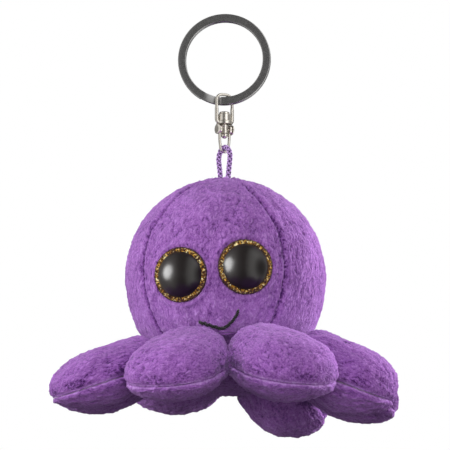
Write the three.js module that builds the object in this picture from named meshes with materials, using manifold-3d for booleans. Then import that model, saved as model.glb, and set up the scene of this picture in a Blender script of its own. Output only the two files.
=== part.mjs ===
// Plush octopus key ring. A stuffed head with two domed eyes and eight stuffed arms hangs by a
// braided cord loop from a two-bail swivel, and the swivel hangs from a flat split ring.
// Millimetres, +Z up, face towards -Y. The origin is the point of the split ring's inner edge
// that rests on a hook: the whole toy hangs from there.
import * as THREE from "three";
import { mergeVertices } from "three/addons/utils/BufferGeometryUtils.js";
import Module from "manifold-3d";

const wasm = await Module();
wasm.setup();

// ---- driving dimensions -------------------------------------------------------------------
const GAP = 0.3; // clearance between pieces that touch on the real toy

// split ring: a flat wire wound twice
const RING_OUTER = 15.3;
const RING_WIDTH = 2.6;
const RING_WIRE = 0.95; // thickness of one coil
const COIL_OFFSET = 0.55; // each coil's middle from the ring's middle plane
const CROSSING_TURN = -108; // degrees, where the wire steps from the front coil to the back one
const CROSSING_HALF = 14;
const COIL_END = 12; // how far each wire end stops short of the crossing
const RING_Z = RING_WIDTH - RING_OUTER; // the ring's centre

// swivel
const BAIL_TURN = 36; // degrees, the bails' plane from the ring's plane
const BAIL_WIRE = 1.0;
const BAIL_HALF = 2.95; // middle of the wall to the middle of a leg
const ARCH_Z = -26.95; // where the upper bail's legs become the arch
const ARCH_RISE = 2.45;
const EYE_PLATE_Z = -34.05; // middle of the plate that closes the upper bail
const EYE_PLATE = 0.9;
const RIVET_HEAD_R = 2.05;
const RIVET_HEAD_H = 3.0;
const SHANK_R = 0.75;
const BARREL_R = 1.25;
const BARREL_TOP = -34.8;
const BARREL_BOTTOM = -37.5;
const TRUNNION_Z = -36.2;
const TRUNNION_R = 0.6;
const LOWER_WIRE = 0.8;
const LOWER_EYE_R = 1.4;
const LOWER_EYE_MIN = BARREL_R + 0.25; // the lower bail's eye, nearest to the barrel
const LOWER_EYE_MAX = LOWER_EYE_MIN + 0.7;
const TRUNNION_HEAD_R = 1.7;
const SADDLE_R = 1.5; // the lower bail's bottom bend

// cord loop
const CORD_R = 0.85;
const CORD_TOP = -42.2; // middle of the cord where it crosses the bail
const CORD_LOOP_TURN = BAIL_TURN - 90; // the loop stands square to the bails
const CORD_ARCH = 3.6; // middle of the loop to the middle of a strand, at its widest
const CORD_HOLE_R = 3.5;
const KNOT_Z = -61.0;
const KNOT_R = 2.6;

// head
const HEAD = new THREE.Vector3(0.3, 1.1, -85.0);
const HEAD_R = 32.5;
const HEAD_TOP = 32.0;
const HEAD_LOW = 36.0;
const FABRIC = 1.4;
const HEAD_EDGE = -21.3; // the head panels' lower edge, from the head's centre
const SEAMS = [-50, 41, 133, 217]; // degrees round from the face
const SEAM_BOW = 19; // degrees, how far the face and back panels narrow towards the crown

// eyes: turn from the face's middle, height from the head's centre, and the way the eye faces
const EYES = { left: { turn: -21.2, rise: -3.8, facing: -13.5 }, right: { turn: 16.1, rise: -1.7, facing: 15.0 } };
const EYE_R = 8.5;
const PUPIL_R = 7.4;
const PUPIL_RISE = 4.6;
const IRIS_T = 1.0;
const STEM_R = 1.8;

// arms
const ARM_PIVOT_R = 27.0;
const ARM_PIVOT_Z = -106.8;
const ARM_ROOT = { r: 22.0, z: -114.0 };
const ARM_DROOP = 19.4;
const ARM_LENGTH = 37.6;
const ARM_HALF = 14.4;
const ARM_TOP = 12.6;
const ARM_UNDER = 9.0;
const TOP_FULL = 3.1; // how square the section is: 2 is an ellipse
const UNDER_FULL = 2.1;
// turn: degrees round from the face; sag: extra droop; then length, width and depth factors
const ARMS = [
  { name: "front_left", turn: -16, sag: 1.5, long: 1.0, wide: 1.0, deep: 0.92 },
  { name: "front_right", turn: 29.5, sag: -0.5, long: 1.02, wide: 1.04, deep: 1.0 },
  { name: "right_front", turn: 73.5, sag: 1.3, long: 0.99, wide: 0.95, deep: 1.02 },
  { name: "right_rear", turn: 115.8, sag: 2.2, long: 1.05, wide: 0.95, deep: 0.95 },
  { name: "rear_right", turn: 159, sag: 7, long: 1.02, wide: 0.92, deep: 1.0 },
  { name: "rear_left", turn: -154, sag: -10.5, long: 0.98, wide: 0.95, deep: 0.9 },
  { name: "left_rear", turn: -106.5, sag: -6, long: 0.98, wide: 0.95, deep: 0.93 },
  { name: "left_front", turn: -61, sag: 0.5, long: 1.04, wide: 0.97, deep: 0.95 },
];

// ---- materials ----------------------------------------------------------------------------
const PLUSH = { color: 0x8c50ae, roughness: 0.95, metalness: 0 };
const PLUSH_UNDER = { color: 0x7a4399, roughness: 0.95, metalness: 0 };
const FILLING = { color: 0xf2efe8, roughness: 1, metalness: 0 };
const CORD_DYE = { color: 0x7d4aa0, roughness: 0.7, metalness: 0 };
const THREAD = { color: 0x17131a, roughness: 0.6, metalness: 0 };
const BLACK_PLASTIC = { color: 0x141214, roughness: 0.12, metalness: 0 };
const GLITTER = { color: 0x8d6a1e, roughness: 0.4, metalness: 0.4 };
const WASHER_PLASTIC = { color: 0xe8e6e0, roughness: 0.5, metalness: 0 };
const DARK_STEEL = { color: 0x505052, roughness: 0.35, metalness: 1 };
const BRIGHT_STEEL = { color: 0xc9c6c0, roughness: 0.2, metalness: 1 };

// ---- small helpers ------------------------------------------------------------------------
const rad = THREE.MathUtils.degToRad;
const lerp = THREE.MathUtils.lerp;
const range = (n) => Array.from({ length: n }, (_, i) => i);

function welded(geometry) {
  geometry.deleteAttribute("normal");
  geometry.deleteAttribute("uv");
  const merged = mergeVertices(geometry, 1e-4);
  const index = Array.from(merged.index.array);
  const kept = [];
  for (let i = 0; i < index.length; i += 3) {
    const [a, b, c] = index.slice(i, i + 3);
    if (a !== b && b !== c && c !== a) kept.push(a, b, c);
  }
  merged.setIndex(kept);
  merged.computeVertexNormals();
  return merged;
}

function geometryOf(points, faces) {
  const geometry = new THREE.BufferGeometry();
  geometry.setAttribute("position", new THREE.Float32BufferAttribute(points.flatMap((p) => p.toArray()), 3));
  geometry.setIndex(faces.flat());
  return welded(geometry.toNonIndexed());
}

function toManifold(geometry) {
  const g = welded(geometry.index ? geometry.toNonIndexed() : geometry);
  const vertProperties = new Float32Array(g.attributes.position.array);
  const triVerts = new Uint32Array(g.index.array);
  return new wasm.Manifold(new wasm.Mesh({ numProp: 3, vertProperties, triVerts }));
}

function fromManifold(solid) {
  const mesh = solid.getMesh();
  const geometry = new THREE.BufferGeometry();
  geometry.setAttribute("position", new THREE.Float32BufferAttribute(mesh.vertProperties, 3));
  geometry.setIndex(Array.from(mesh.triVerts));
  geometry.computeVertexNormals();
  return geometry;
}

function union(first, ...others) {
  return fromManifold(others.reduce((sum, g) => sum.add(toManifold(g)), toManifold(first)));
}

function subtract(first, ...cutters) {
  return fromManifold(cutters.reduce((rest, g) => rest.subtract(toManifold(g)), toManifold(first)));
}

// A closed skin between an outer sheet and an inner one. Each sheet is a function of two
// numbers from 0 to 1, and an edge that shrinks to a point needs no wall.
function skin(outer, inner, across, along) {
  const points = [];
  for (const sheet of [outer, inner]) {
    for (const j of range(along + 1)) for (const i of range(across + 1)) points.push(sheet(i / across, j / along));
  }
  const at = (side, i, j) => side * (across + 1) * (along + 1) + j * (across + 1) + i;
  const faces = [];
  const quad = (a, b, c, d) => faces.push([a, b, c], [a, c, d]);
  for (const j of range(along)) {
    for (const i of range(across)) {
      quad(at(0, i, j), at(0, i + 1, j), at(0, i + 1, j + 1), at(0, i, j + 1));
      quad(at(1, i, j), at(1, i, j + 1), at(1, i + 1, j + 1), at(1, i + 1, j));
    }
    quad(at(0, 0, j), at(0, 0, j + 1), at(1, 0, j + 1), at(1, 0, j));
    quad(at(0, across, j), at(1, across, j), at(1, across, j + 1), at(0, across, j + 1));
  }
  for (const i of range(across)) {
    quad(at(0, i, 0), at(1, i, 0), at(1, i + 1, 0), at(0, i + 1, 0));
    quad(at(0, i, along), at(0, i + 1, along), at(1, i + 1, along), at(1, i, along));
  }
  return geometryOf(points, faces);
}

// A closed body whose rings close on themselves and shrink to a point at both ends.
function pod(surface, around, along) {
  const points = [];
  for (const j of range(along + 1)) for (const i of range(around)) points.push(surface(i / around, j / along));
  const at = (i, j) => j * around + (i % around);
  const faces = [];
  for (const j of range(along)) {
    for (const i of range(around)) {
      faces.push([at(i, j), at(i + 1, j), at(i + 1, j + 1)], [at(i, j), at(i + 1, j + 1), at(i, j + 1)]);
    }
  }
  return geometryOf(points, faces);
}

function wireAlong(points, radius, steps, sides = 8) {
  const section = new THREE.Shape(range(sides).map((i) => {
    const a = (2 * Math.PI * (i + 0.5)) / sides;
    return new THREE.Vector2(radius * Math.cos(a), radius * Math.sin(a));
  }));
  const path = new THREE.CatmullRomCurve3(points, false, "centripetal");
  return new THREE.ExtrudeGeometry(section, { steps, extrudePath: path, bevelEnabled: false });
}

// A turned piece about +Z, from [radius, height] pairs that start and end on the axis.
function turned(profile, sides = 24) {
  const geometry = new THREE.LatheGeometry(profile.map(([r, z]) => new THREE.Vector2(r, z)), sides);
  return welded(geometry.rotateX(Math.PI / 2).toNonIndexed());
}

function disc(radius, low, high, sides = 24) {
  return turned([[0, low], [radius, low], [radius, high], [0, high]], sides);
}

function mesh(name, geometry, finish) {
  const item = new THREE.Mesh(geometry, new THREE.MeshStandardMaterial(finish));
  item.name = name;
  return item;
}

const octopus = new THREE.Group();
octopus.name = "plush_octopus_key_ring";

// ---- split ring ---------------------------------------------------------------------------
// The wire starts on the front coil just past the crossing, goes once round, steps to the back
// coil, goes round again and stops just before the crossing.
function splitRing() {
  const middle = RING_OUTER - RING_WIDTH / 2;
  const halfWidth = RING_WIDTH / 2;
  const halfWire = RING_WIRE / 2;
  const edge = 0.28;
  const section = [
    [halfWidth, -halfWire + edge], [halfWidth, halfWire - edge], [halfWidth - edge, halfWire],
    [-halfWidth + edge, halfWire], [-halfWidth, halfWire - edge], [-halfWidth, -halfWire + edge],
    [-halfWidth + edge, -halfWire], [halfWidth - edge, -halfWire],
  ];
  const first = COIL_END;
  const last = 720 - COIL_END;
  const steps = 72;
  const points = [];
  for (const k of range(steps + 1)) {
    const turn = lerp(first, last, k / steps);
    const step = THREE.MathUtils.smoothstep(turn, 360 - CROSSING_HALF, 360 + CROSSING_HALF);
    const layer = lerp(-COIL_OFFSET, COIL_OFFSET, step);
    const angle = rad(CROSSING_TURN + turn);
    for (const [out, deep] of section) {
      const r = middle + out;
      points.push(new THREE.Vector3(r * Math.cos(angle), layer + deep, RING_Z + r * Math.sin(angle)));
    }
  }
  const n = section.length;
  const faces = [];
  for (const k of range(steps)) {
    for (const i of range(n)) {
      const [a, b] = [k * n + i, k * n + ((i + 1) % n)];
      faces.push([a, b, b + n], [a, b + n, a + n]);
    }
  }
  for (const i of range(n - 2)) {
    faces.push([0, i + 2, i + 1], [steps * n, steps * n + i + 1, steps * n + i + 2]);
  }
  return geometryOf(points, faces);
}

octopus.add(mesh("split_ring", splitRing(), DARK_STEEL));

// ---- swivel -------------------------------------------------------------------------------
// Everything here is drawn in the bails' own plane, XZ, and turned about Z as one group.
const swivel = new THREE.Group();
swivel.rotation.z = rad(BAIL_TURN);
octopus.add(swivel);

function upperBail() {
  const lowBend = 1.1;
  const footZ = EYE_PLATE_Z + lowBend;
  const arch = (k) => {
    const a = (Math.PI * k) / 12;
    const [c, s] = [Math.cos(a), Math.sin(a)];
    const n = 2 / 2.6;
    return [Math.sign(c) * BAIL_HALF * Math.abs(c) ** n, ARCH_Z + ARCH_RISE * s ** n];
  };
  const side = (sign) => [
    [sign * 1.6, EYE_PLATE_Z], [sign * (BAIL_HALF - 0.75), EYE_PLATE_Z + 0.12],
    [sign * (BAIL_HALF - 0.18), EYE_PLATE_Z + 0.55], [sign * BAIL_HALF, footZ + 0.2], [sign * BAIL_HALF, -30],
  ];
  const route = [...side(1), ...range(13).map(arch), ...side(-1).reverse()];
  const wire = wireAlong(route.map(([x, z]) => new THREE.Vector3(x, 0, z)), BAIL_WIRE / 2, 44);
  const plate = disc(BAIL_HALF - 0.35, EYE_PLATE_Z - EYE_PLATE / 2, EYE_PLATE_Z + EYE_PLATE / 2);
  const hole = disc(SHANK_R + GAP, EYE_PLATE_Z - 2, EYE_PLATE_Z + 2, 16);
  // the rivet head sits inside the bail, so the wire is trimmed back to clear it
  const seat = disc(RIVET_HEAD_R + GAP, EYE_PLATE_Z + EYE_PLATE / 2, EYE_PLATE_Z + 5);
  const under = disc(5, EYE_PLATE_Z - 3, EYE_PLATE_Z - EYE_PLATE / 2);
  return subtract(union(wire, plate), hole, seat, under);
}

// One turned rivet: its head turns inside the upper bail, and its shank goes through the
// bail's plate and the barrel to a peened button.
function swivelRivet() {
  const headLow = EYE_PLATE_Z + EYE_PLATE / 2 + 0.2;
  const headHigh = headLow + RIVET_HEAD_H;
  const button = BARREL_BOTTOM - 0.2;
  return turned([
    [0, button - 1.5], [0.6, button - 1.4], [1.1, button - 0.9], [1.2, button - 0.4], [1.0, button],
    [SHANK_R, button], [SHANK_R, headLow], [RIVET_HEAD_R - 0.15, headLow], [RIVET_HEAD_R, headLow + 0.15],
    [RIVET_HEAD_R, headHigh - 0.2], [RIVET_HEAD_R - 0.2, headHigh], [0, headHigh],
  ]);
}

// The barrel turns with the rivet and carries two trunnions with peened heads.
function swivelBarrel() {
  const body = turned([
    [0, BARREL_BOTTOM], [BARREL_R - 0.2, BARREL_BOTTOM], [BARREL_R, BARREL_BOTTOM + 0.25],
    [BARREL_R, BARREL_TOP - 0.25], [BARREL_R - 0.2, BARREL_TOP], [0, BARREL_TOP],
  ]);
  const headNear = LOWER_EYE_MAX + 0.25;
  const headFar = headNear + 0.55;
  const right = turned([
    [0, 1.1], [TRUNNION_R, 1.1], [TRUNNION_R, headNear], [TRUNNION_HEAD_R, headNear],
    [TRUNNION_HEAD_R, headFar - 0.2], [TRUNNION_HEAD_R - 0.4, headFar], [0, headFar],
  ], 16).rotateY(Math.PI / 2).translate(0, 0, TRUNNION_Z);
  const left = right.clone().rotateZ(Math.PI);
  const bore = disc(SHANK_R + 0.2, BARREL_BOTTOM - 1, BARREL_TOP + 1, 16);
  return subtract(union(body, right, left), bore);
}

function lowerBail() {
  const eyeMiddle = (LOWER_EYE_MIN + LOWER_EYE_MAX) / 2;
  const eye = disc(LOWER_EYE_R, LOWER_EYE_MIN, LOWER_EYE_MAX, 20).rotateY(Math.PI / 2).translate(0, 0, TRUNNION_Z);
  const leg = (sign) => [
    [sign * eyeMiddle, TRUNNION_Z - 0.95], [sign * eyeMiddle, TRUNNION_Z - 2.2],
    [sign * (SADDLE_R + 0.25), CORD_TOP + 1.9], [sign * (SADDLE_R + 0.03), CORD_TOP + 0.5],
  ];
  const bend = range(9).map((k) => {
    const a = Math.PI * (k / 8);
    return [SADDLE_R * Math.cos(a), CORD_TOP - SADDLE_R * Math.sin(a)];
  });
  const route = [...leg(1), ...bend, ...leg(-1).reverse()];
  const wire = wireAlong(route.map(([x, z]) => new THREE.Vector3(x, 0, z)), LOWER_WIRE / 2, 36);
  const hole = new THREE.CylinderGeometry(TRUNNION_R + GAP, TRUNNION_R + GAP, 12, 16)
    .rotateZ(Math.PI / 2).translate(0, 0, TRUNNION_Z);
  return subtract(union(wire, eye, eye.clone().rotateZ(Math.PI)), hole);
}

swivel.add(mesh("upper_bail", upperBail(), BRIGHT_STEEL));
swivel.add(mesh("swivel_rivet", swivelRivet(), BRIGHT_STEEL));
swivel.add(mesh("swivel_barrel", swivelBarrel(), BRIGHT_STEEL));
swivel.add(mesh("lower_bail", lowerBail(), BRIGHT_STEEL));

// ---- cord loop ----------------------------------------------------------------------------
// Drawn in XZ and turned square to the bails: up one strand, over the bail and down the other.
const cordSide = [
  [1.9, KNOT_Z + KNOT_R + 0.6], [2.1, -56.0], [2.35, -53.0], [2.9, -49.5], [CORD_ARCH - 0.05, -46.3],
];
const cordArch = range(9).map((k) => {
  const a = (Math.PI * k) / 8;
  return [CORD_ARCH * Math.cos(a), CORD_TOP - CORD_ARCH * (1 - Math.sin(a))];
});
const cordRoute = [...cordSide, ...cordArch, ...cordSide.map(([x, z]) => [-x, z]).reverse()];
const cordGroup = new THREE.Group();
cordGroup.rotation.z = rad(CORD_LOOP_TURN);
octopus.add(cordGroup);
const cord = wireAlong(cordRoute.map(([x, z]) => new THREE.Vector3(x, 0, z)), CORD_R, 40);
cordGroup.add(mesh("cord_loop", welded(cord), CORD_DYE));

// the two cord ends are knotted together under the crown
const knot = pod((u, v) => {
  const a = 2 * Math.PI * u;
  const p = Math.PI * v;
  const r = KNOT_R * Math.sin(p);
  return new THREE.Vector3(r * Math.cos(a), r * Math.sin(a), KNOT_Z - 0.85 * KNOT_R * Math.cos(p));
}, 12, 8);
cordGroup.add(mesh("cord_knot", knot, CORD_DYE));

// ---- head ---------------------------------------------------------------------------------
const hangAxis = new THREE.Vector3(0, 0, 0);

// A point of the head's wall. The crown leans towards the cord, which hangs a little in front
// of the head's middle.
function headPoint(turn, rise, inset) {
  const height = (rise > 0 ? HEAD_TOP : HEAD_LOW) - inset;
  const sine = Math.sqrt(Math.max(0, 1 - (rise / height) ** 2));
  const lean = rise > 0 ? (rise / height) ** 2 : 0;
  return new THREE.Vector3(
    HEAD.x + (HEAD_R - inset) * sine * Math.sin(rad(turn)) + lean * (hangAxis.x - HEAD.x),
    HEAD.y - (HEAD_R - inset) * sine * Math.cos(rad(turn)) + lean * (hangAxis.y - HEAD.y),
    HEAD.z + rise,
  );
}

function seamTurn(seam, rise) {
  const [front, rear] = [(SEAMS[0] + SEAMS[1]) / 2, (SEAMS[2] + SEAMS[3]) / 2];
  const towards = Math.abs(seam - front) < Math.abs(seam - rear) ? front : rear;
  const bow = rise > 0 ? SEAM_BOW * (rise / HEAD_TOP) ** 2 : 5 * (rise / HEAD_EDGE) ** 2;
  return seam + Math.sign(towards - seam) * bow;
}

function headPanel(from, to) {
  const sheet = (inset) => (u, v) => {
    const height = HEAD_TOP - inset;
    const top = height * Math.sqrt(1 - (CORD_HOLE_R / (HEAD_R - inset)) ** 2);
    const polar = lerp(Math.acos(top / height), Math.acos(HEAD_EDGE / (HEAD_LOW - inset)), 1 - v);
    const rise = Math.cos(polar) > 0 ? height * Math.cos(polar) : (HEAD_LOW - inset) * Math.cos(polar);
    const sine = Math.max(0.1, Math.sin(polar));
    const share = (GAP / 2 / (HEAD_R * sine)) * (180 / Math.PI);
    const [a, b] = [seamTurn(from, rise) + share, seamTurn(to, rise) - share];
    return headPoint(lerp(a, b, u), rise, inset);
  };
  return skin(sheet(0), sheet(FABRIC), 9, 9);
}

// a piece drawn along +Z, moved onto the head at an eye's place and pointing outwards
function ontoHead(geometry, eye, out = 0) {
  const seat = headPoint(eye.turn, eye.rise, 0);
  const polar = Math.atan2(eye.rise / HEAD_LOW ** 2, 1 / HEAD_R);
  const facing = rad(eye.facing);
  const normal = new THREE.Vector3(Math.sin(facing), -Math.cos(facing), Math.tan(polar)).normalize();
  const turn = new THREE.Quaternion().setFromUnitVectors(new THREE.Vector3(0, 0, 1), normal);
  const place = new THREE.Matrix4().compose(seat.addScaledVector(normal, out), turn, new THREE.Vector3(1, 1, 1));
  return geometry.clone().applyMatrix4(place);
}

const recess = disc(EYE_R + GAP, -0.95, 4, 32);
const stemHole = disc(STEM_R + GAP, -6, 4, 16);
const eyePlaces = Object.values(EYES);
const panelNames = ["head_panel_face", "head_panel_right", "head_panel_back", "head_panel_left"];
panelNames.forEach((name, i) => {
  const from = SEAMS[i];
  const to = i === 3 ? SEAMS[0] + 360 : SEAMS[i + 1];
  let panel = headPanel(from, to);
  if (i === 0) panel = subtract(panel, ...eyePlaces.flatMap((e) => [ontoHead(recess, e), ontoHead(stemHole, e)]));
  octopus.add(mesh(name, panel, PLUSH));
});

// The belly closes the head below: a flat rim inside the panels' edge, and a cup that the arms
// stand round.
function bellyPanel() {
  const rim = HEAD.z + HEAD_EDGE;
  return turned([
    [0, -123.0], [12, -122.4], [17.2, -120.6], [19.2, -117.5], [19.7, -112], [20.2, -108.8], [25.2, -107.8],
    [25.8, rim - 0.3], [24.6, rim - 0.3], [19.0, rim - 0.9], [18.5, -112], [18.0, -117.2], [16.4, -119.5],
    [11.6, -121.2], [0, -121.8],
  ], 28).translate(HEAD.x, HEAD.y, 0);
}
octopus.add(mesh("belly_panel", bellyPanel(), PLUSH_UNDER));

// The filling is turned from the head's wall, with room for the knot and the eyes' washers.
function headStuffing() {
  const inset = FABRIC + 0.4;
  const floor = HEAD_EDGE + 0.5;
  const rows = 10;
  const ball = pod((u, v) => {
    const k = v * (rows + 1);
    if (k > rows) return new THREE.Vector3(HEAD.x, HEAD.y, HEAD.z + floor);
    const polar = Math.acos(floor / (HEAD_LOW - inset)) * (k / rows);
    const height = polar < Math.PI / 2 ? HEAD_TOP - inset : HEAD_LOW - inset;
    return headPoint(-360 * u, height * Math.cos(polar), inset);
  }, 24, rows + 1);
  const room = disc(KNOT_R + 0.5, KNOT_Z - KNOT_R - 0.5, 0, 16);
  const pockets = eyePlaces.map((e) => ontoHead(disc(7.6, -8, 4, 20), e));
  return subtract(ball, room, ...pockets);
}
octopus.add(mesh("head_stuffing", headStuffing(), FILLING));

// ---- eyes ---------------------------------------------------------------------------------
// Each eye is a glitter flange, a black dome whose stem goes through the fabric, and a washer
// pushed onto the stem from inside.
const seatDepth = -0.95 + GAP;
const irisRing = turned([
  [STEM_R + 0.2, seatDepth], [EYE_R - 0.2, seatDepth], [EYE_R, seatDepth + 0.25], [EYE_R - 0.1, seatDepth + 0.7],
  [PUPIL_R + 0.2, seatDepth + IRIS_T], [STEM_R + 0.2, seatDepth + IRIS_T], [STEM_R + 0.2, seatDepth],
], 32);
function pupilDome() {
  const base = seatDepth + IRIS_T + 0.2;
  const sphere = (PUPIL_R ** 2 + PUPIL_RISE ** 2) / (2 * PUPIL_RISE);
  const half = Math.asin(PUPIL_R / sphere);
  const cap = range(7).map((k) => {
    const a = half * (1 - k / 6);
    return [sphere * Math.sin(a), base + PUPIL_RISE - sphere * (1 - Math.cos(a))];
  });
  cap[6][0] = 0;
  return turned([[0, -7], [STEM_R - 0.3, -7], [STEM_R, -6.5], [STEM_R, base], [PUPIL_R, base], ...cap.slice(1)], 28);
}
const washer = turned([
  [STEM_R + 0.2, -4.6], [4.6, -4.6], [6.6, -3.9], [6.6, -3.5], [STEM_R + 0.2, -3.1], [STEM_R + 0.2, -4.6],
], 24);
for (const [side, eye] of Object.entries(EYES)) {
  octopus.add(mesh(`eye_${side}_iris`, ontoHead(irisRing, eye), GLITTER));
  octopus.add(mesh(`eye_${side}_dome`, ontoHead(pupilDome(), eye), BLACK_PLASTIC));
  octopus.add(mesh(`eye_${side}_washer`, ontoHead(washer, eye), WASHER_PLASTIC));
}

// ---- mouth --------------------------------------------------------------------------------
// A stitched smile: degrees from the face's middle, and height from the head's centre.
const MOUTH = [[-11.7, -18.5], [-8.5, -19.0], [-5.3, -19.5], [-1.4, -20.1], [2.6, -20.5], [5.3, -20.0],
  [7.9, -19.0], [11.0, -17.2], [12.7, -15.4]];
const THREAD_R = 0.4;
const mouthRoute = MOUTH.map(([turn, rise]) => headPoint(turn, rise, -THREAD_R - GAP));
octopus.add(mesh("mouth_stitch", welded(wireAlong(mouthRoute, THREAD_R, 20, 6)), THREAD));

// ---- arms ---------------------------------------------------------------------------------
// An arm is drawn along +X from its root, with its side seam in the plane z = 0: a full upper
// panel, a flatter lower panel and the filling between them.
const rise = (x, length, n) => (x >= length ? 1 : (1 - ((length - x) / length) ** n) ** (1 / n));
const fall = (x, from, n, m) => (x <= from ? 1 : (1 - ((x - from) / (ARM_LENGTH - from)) ** n) ** (1 / m));
const armHalf = (x) => Math.min(ARM_HALF, 7.6 + 0.45 * x) * rise(x, 4, 2) * fall(x, 24.5, 2.1, 2.1);
const armTop = (x) => ARM_TOP * rise(x, 7, 1.6) * fall(x, 19, 2.5, 2.5);
const armUnder = (x) => ARM_UNDER * rise(x, 20, 1.5) * fall(x, 19, 1.9, 1.6);

function armPoint(across, along, inset, side) {
  const share = (1 - Math.cos(Math.PI * along)) / 2;
  const x = ARM_LENGTH * share;
  const height = side > 0 ? armTop(x) * (1 - inset / ARM_TOP) : armUnder(x) * (1 - inset / ARM_UNDER);
  const half = armHalf(x) * (1 - inset / ARM_HALF);
  const a = Math.PI * across;
  const n = side > 0 ? 2 / TOP_FULL : 2 / UNDER_FULL;
  return new THREE.Vector3(
    inset + (ARM_LENGTH - 2 * inset) * share,
    half * Math.sign(Math.cos(a)) * Math.abs(Math.cos(a)) ** n,
    side * (GAP / 2 + height * Math.sin(a) ** n),
  );
}

function armPanel(side, across) {
  const sheet = (inset) => (u, v) => armPoint(side > 0 ? u : 1 - u, v, inset, side);
  return skin(sheet(0), sheet(FABRIC), across, 9);
}

function armStuffing() {
  return pod((u, v) => {
    const side = u < 0.5 ? 1 : -1;
    const across = u < 0.5 ? 2 * u : 2 - 2 * u;
    const p = armPoint(across, v, FABRIC + 1.1, side);
    return p.setZ(Math.abs(p.z) <= GAP / 2 + 1e-9 ? 0 : p.z);
  }, 12, 7);
}

const armPieces = {
  top: { geometry: armPanel(1, 8), finish: PLUSH },
  under: { geometry: armPanel(-1, 6), finish: PLUSH_UNDER },
  stuffing: { geometry: armStuffing(), finish: FILLING },
};

for (const arm of ARMS) {
  const place = new THREE.Group(); // stands at the head's middle, facing the arm's way
  place.position.set(HEAD.x, HEAD.y, 0);
  place.rotation.z = rad(arm.turn - 90);
  const pivot = new THREE.Group();
  pivot.position.set(ARM_PIVOT_R, 0, ARM_PIVOT_Z);
  pivot.rotation.y = rad(arm.sag);
  const limb = new THREE.Group();
  limb.position.set(ARM_ROOT.r - ARM_PIVOT_R, 0, ARM_ROOT.z - ARM_PIVOT_Z);
  limb.rotation.y = rad(ARM_DROOP);
  limb.scale.set(arm.long, arm.wide, arm.deep);
  for (const [piece, { geometry, finish }] of Object.entries(armPieces)) {
    limb.add(mesh(`arm_${arm.name}_${piece}`, geometry, finish));
  }
  pivot.add(limb);
  place.add(pivot);
  octopus.add(place);
}

export default octopus;
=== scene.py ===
"""A plush octopus key ring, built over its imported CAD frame.

Lengths are in millimetres until a mesh is made, +Z is up and the face looks towards -Y. The
origin is the point of the split ring that hangs on a hook.
"""
import math

import bpy
import numpy as np
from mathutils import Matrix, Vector


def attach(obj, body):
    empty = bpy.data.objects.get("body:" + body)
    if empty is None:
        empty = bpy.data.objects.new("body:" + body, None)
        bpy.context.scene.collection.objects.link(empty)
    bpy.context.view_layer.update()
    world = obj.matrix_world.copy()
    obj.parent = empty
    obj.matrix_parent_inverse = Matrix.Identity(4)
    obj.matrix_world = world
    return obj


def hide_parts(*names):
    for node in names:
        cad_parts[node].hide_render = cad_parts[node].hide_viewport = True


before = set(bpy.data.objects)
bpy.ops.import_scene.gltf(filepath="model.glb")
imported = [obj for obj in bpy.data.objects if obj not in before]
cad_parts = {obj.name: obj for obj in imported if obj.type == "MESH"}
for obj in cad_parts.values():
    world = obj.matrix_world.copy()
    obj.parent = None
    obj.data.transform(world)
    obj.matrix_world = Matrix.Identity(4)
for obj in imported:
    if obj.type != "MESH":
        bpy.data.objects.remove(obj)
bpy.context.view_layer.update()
scene = bpy.context.scene
MM = 0.001
FINE = 1.0  # how finely the cloth is divided


# ---- camera -------------------------------------------------------------------------------
# It stands a little to one side and below, and looks up.
def place_camera(aim, azimuth, elevation, distance, view_width):
    a, e = math.radians(azimuth), math.radians(elevation)
    away = Vector((math.sin(a) * math.cos(e), -math.cos(a) * math.cos(e), math.sin(e)))
    data = bpy.data.cameras.new("camera")
    data.sensor_width = 36.0
    data.lens = 36.0 * distance / view_width
    camera = bpy.data.objects.new("camera", data)
    camera.location = Vector(aim) + distance * away
    camera.rotation_euler = away.to_track_quat("Z", "Y").to_euler()
    scene.collection.objects.link(camera)
    scene.camera = camera


place_camera(aim=(0.0002, 0, -0.0680), azimuth=5, elevation=-10, distance=0.9, view_width=0.1467)


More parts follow.
